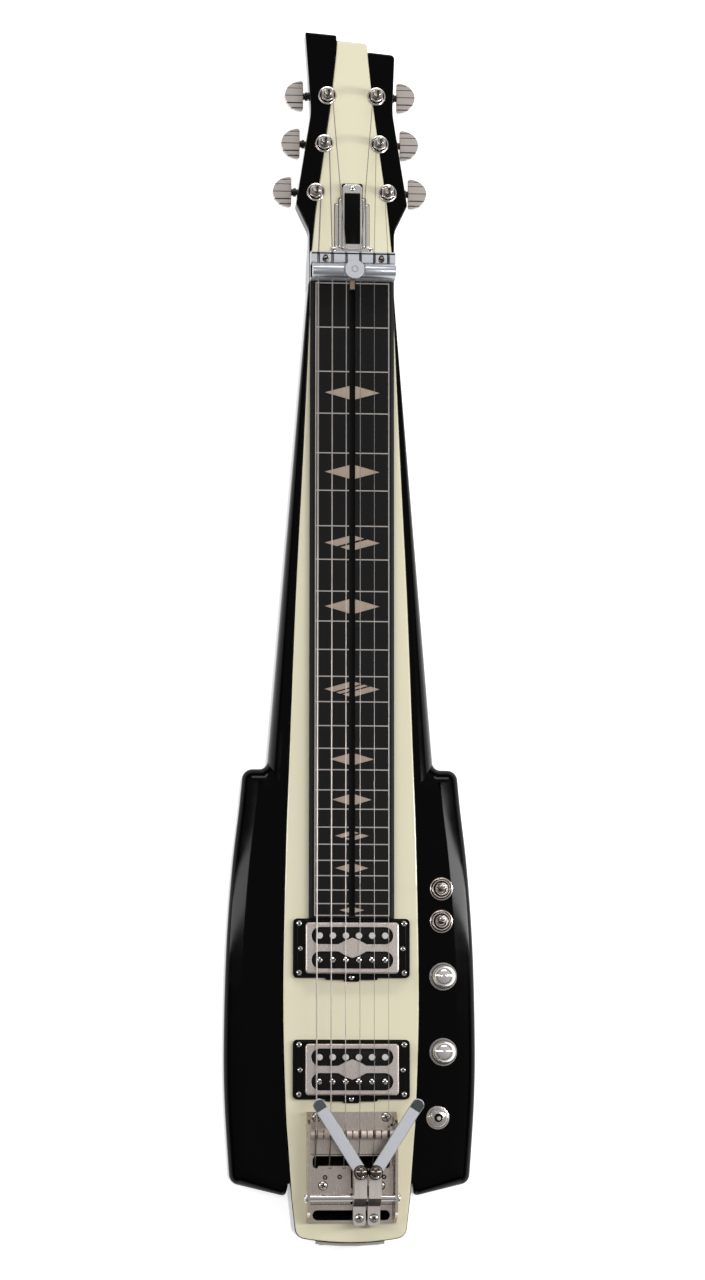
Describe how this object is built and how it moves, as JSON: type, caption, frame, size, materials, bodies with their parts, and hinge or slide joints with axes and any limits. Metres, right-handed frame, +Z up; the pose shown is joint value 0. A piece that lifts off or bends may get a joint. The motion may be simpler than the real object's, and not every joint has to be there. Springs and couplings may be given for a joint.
{
  "type": "lap steel guitar",
  "caption": "Lap steel guitar with centre block, wings, covered pickups, sliding capo and palm-lever string benders at the bridge.",
  "frame": {"origin": "centre of the bounding box at the underside, on the face that lies on the lap or a stand", "axes": "+X to the treble side, +Y towards the headstock, +Z up out of the playing face"},
  "size_m": [0.19, 0.9279, 0.072],
  "materials": {
    "cream_lacquer": "gloss cream lacquer over wood",
    "black_lacquer": "gloss black lacquer over wood",
    "fretboard_black": "satin black",
    "line_inlay": "tan inlay",
    "steel": "bright drawn steel",
    "chrome": "polished chrome",
    "nickel": "satin nickel",
    "satin_alloy": "bead-blasted alloy",
    "brass": "dull brass",
    "black_plastic": "black moulded plastic"
  },
  "bodies": {
    "instrument": {"centre_core": "cream_lacquer", "body_wing_bass": "black_lacquer", "body_wing_treble": "black_lacquer", "head_wing_bass": "black_lacquer", "head_wing_treble": "black_lacquer", "fretboard": "fretboard_black", "fret_lines_bass": "line_inlay", "fret_lines_treble": "line_inlay", "truss_rod": "steel", "truss_rod_cover": "chrome", "nut": "chrome", "tuner_housing_bass_1": "chrome", "tuner_housing_bass_2": "chrome", "tuner_housing_bass_3": "chrome", "tuner_housing_treble_1": "chrome", "tuner_housing_treble_2": "chrome", "tuner_housing_treble_3": "chrome", "string_1": "steel", "string_2": "steel", "string_3": "steel", "string_4": "steel", "string_5": "steel", "string_6": "steel", "pickup_ring_front": "black_plastic", "pickup_cover_front": "nickel", "pickup_coils_front": "black_plastic", "pickup_ring_rear": "black_plastic", "pickup_cover_rear": "nickel", "pickup_coils_rear": "black_plastic", "switch_bezel_1": "chrome", "switch_bezel_2": "chrome", "output_jack": "chrome", "bridge_base": "nickel", "anchor_plate": "nickel", "pivot_shaft": "nickel", "tail_plate": "chrome"},
    "capo_runner": {"capo_shoe": "brass"},
    "capo_clamp": {"capo_bar": "chrome"},
    "capo_screw": {"capo_wheel": "satin_alloy"},
    "button_bass_1": {"tuner_button_bass_1": "nickel"},
    "button_bass_2": {"tuner_button_bass_2": "nickel"},
    "button_bass_3": {"tuner_button_bass_3": "nickel"},
    "button_treble_1": {"tuner_button_treble_1": "nickel"},
    "button_treble_2": {"tuner_button_treble_2": "nickel"},
    "button_treble_3": {"tuner_button_treble_3": "nickel"},
    "post_bass_1": {"tuner_post_bass_1": "chrome"},
    "post_bass_2": {"tuner_post_bass_2": "chrome"},
    "post_bass_3": {"tuner_post_bass_3": "chrome"},
    "post_treble_1": {"tuner_post_treble_1": "chrome"},
    "post_treble_2": {"tuner_post_treble_2": "chrome"},
    "post_treble_3": {"tuner_post_treble_3": "chrome"},
    "toggle_1": {"switch_lever_1": "chrome"},
    "toggle_2": {"switch_lever_2": "chrome"},
    "volume": {"volume_knob": "chrome"},
    "tone": {"tone_knob": "chrome"},
    "saddle": {"saddle_bar": "nickel"},
    "bender_3": {"bender_arm_3": "nickel"},
    "bender_2": {"bender_arm_2": "nickel"},
    "palm_lever_3": {"bender_lever_3": "satin_alloy"},
    "palm_lever_2": {"bender_lever_2": "satin_alloy"}
  },
  "joints": [
    {"name": "capo_slide", "type": "slide", "parent": "instrument", "child": "capo_runner", "axis": [0, -1, 0], "range_m": [0, 0.436]},
    {"name": "capo_press", "type": "slide", "parent": "capo_runner", "child": "capo_clamp", "axis": [0, 0, -1], "range_m": [0, 0.001]},
    {"name": "capo_turn", "type": "hinge", "parent": "capo_clamp", "child": "capo_screw", "pos_m": [0, 0.27185, 0.068], "axis": [0, 0, -1], "range_deg": [0, 400]},
    {"name": "button_spin_bass_1", "type": "hinge", "parent": "instrument", "child": "button_bass_1", "pos_m": [-0.05, 0.34225, 0.02], "axis": [1, 0, 0], "continuous": true},
    {"name": "button_spin_bass_2", "type": "hinge", "parent": "instrument", "child": "button_bass_2", "pos_m": [-0.045, 0.38055, 0.02], "axis": [1, 0, 0], "continuous": true},
    {"name": "button_spin_bass_3", "type": "hinge", "parent": "instrument", "child": "button_bass_3", "pos_m": [-0.042, 0.41845, 0.02], "axis": [1, 0, 0], "continuous": true},
    {"name": "button_spin_treble_1", "type": "hinge", "parent": "instrument", "child": "button_treble_1", "pos_m": [0.05, 0.34225, 0.02], "axis": [1, 0, 0], "continuous": true},
    {"name": "button_spin_treble_2", "type": "hinge", "parent": "instrument", "child": "button_treble_2", "pos_m": [0.045, 0.38055, 0.02], "axis": [1, 0, 0], "continuous": true},
    {"name": "button_spin_treble_3", "type": "hinge", "parent": "instrument", "child": "button_treble_3", "pos_m": [0.042, 0.41845, 0.02], "axis": [1, 0, 0], "continuous": true},
    {"name": "post_spin_bass_1", "type": "hinge", "parent": "instrument", "child": "post_bass_1", "pos_m": [-0.0277, 0.33765, 0.04], "axis": [0, 0, 1], "continuous": true},
    {"name": "post_spin_bass_2", "type": "hinge", "parent": "instrument", "child": "post_bass_2", "pos_m": [-0.0213, 0.37595, 0.04], "axis": [0, 0, 1], "continuous": true},
    {"name": "post_spin_bass_3", "type": "hinge", "parent": "instrument", "child": "post_bass_3", "pos_m": [-0.019, 0.41385, 0.04], "axis": [0, 0, 1], "continuous": true},
    {"name": "post_spin_treble_1", "type": "hinge", "parent": "instrument", "child": "post_treble_1", "pos_m": [0.0277, 0.33765, 0.04], "axis": [0, 0, 1], "continuous": true},
    {"name": "post_spin_treble_2", "type": "hinge", "parent": "instrument", "child": "post_treble_2", "pos_m": [0.0213, 0.37595, 0.04], "axis": [0, 0, 1], "continuous": true},
    {"name": "post_spin_treble_3", "type": "hinge", "parent": "instrument", "child": "post_treble_3", "pos_m": [0.019, 0.41385, 0.04], "axis": [0, 0, 1], "continuous": true},
    {"name": "toggle_throw_1", "type": "hinge", "parent": "instrument", "child": "toggle_1", "pos_m": [0.0685, -0.19715, 0.0405], "axis": [1, 0, 0], "range_deg": [0, 24]},
    {"name": "toggle_throw_2", "type": "hinge", "parent": "instrument", "child": "toggle_2", "pos_m": [0.0685, -0.22165, 0.0405], "axis": [1, 0, 0], "range_deg": [0, 24]},
    {"name": "volume_turn", "type": "hinge", "parent": "instrument", "child": "volume", "pos_m": [0.0695, -0.26315, 0.045], "axis": [0, 0, 1], "range_deg": [0, 300]},
    {"name": "tone_turn", "type": "hinge", "parent": "instrument", "child": "tone", "pos_m": [0.0695, -0.31965, 0.045], "axis": [0, 0, 1], "range_deg": [0, 300]},
    {"name": "saddle_roll", "type": "hinge", "parent": "instrument", "child": "saddle", "pos_m": [0, -0.38065, 0.0532], "axis": [1, 0, 0], "continuous": true},
    {"name": "bend_3", "type": "hinge", "parent": "instrument", "child": "bender_3", "pos_m": [0.0054, -0.42765, 0.055], "axis": [-1, 0, 0], "range_deg": [0, 5], "stiffness_Nm_per_rad": 8, "springref_deg": -5.73, "deforming": ["string_3"]},
    {"name": "bend_2", "type": "hinge", "parent": "instrument", "child": "bender_2", "pos_m": [0.0162, -0.42765, 0.055], "axis": [-1, 0, 0], "range_deg": [0, 5], "stiffness_Nm_per_rad": 8, "springref_deg": -5.73, "deforming": ["string_2"]},
    {"name": "palm_swivel_3", "type": "hinge", "parent": "bender_3", "child": "palm_lever_3", "pos_m": [0.0054, -0.40845, 0.066], "axis": [0, 0, 1], "range_deg": [-34, 20]},
    {"name": "palm_swivel_2", "type": "hinge", "parent": "bender_2", "child": "palm_lever_2", "pos_m": [0.0162, -0.40845, 0.066], "axis": [0, 0, 1], "range_deg": [-20, 34]}
  ],
  "couplings": [
    {"joint": "capo_turn", "follows": "capo_press", "rad_per_m": 6283.2},
    {"joint": "post_spin_bass_1", "follows": "button_spin_bass_1", "ratio": 0.066667},
    {"joint": "post_spin_bass_2", "follows": "button_spin_bass_2", "ratio": 0.066667},
    {"joint": "post_spin_bass_3", "follows": "button_spin_bass_3", "ratio": 0.066667},
    {"joint": "post_spin_treble_1", "follows": "button_spin_treble_1", "ratio": 0.066667},
    {"joint": "post_spin_treble_2", "follows": "button_spin_treble_2", "ratio": 0.066667},
    {"joint": "post_spin_treble_3", "follows": "button_spin_treble_3", "ratio": 0.066667}
  ]
}
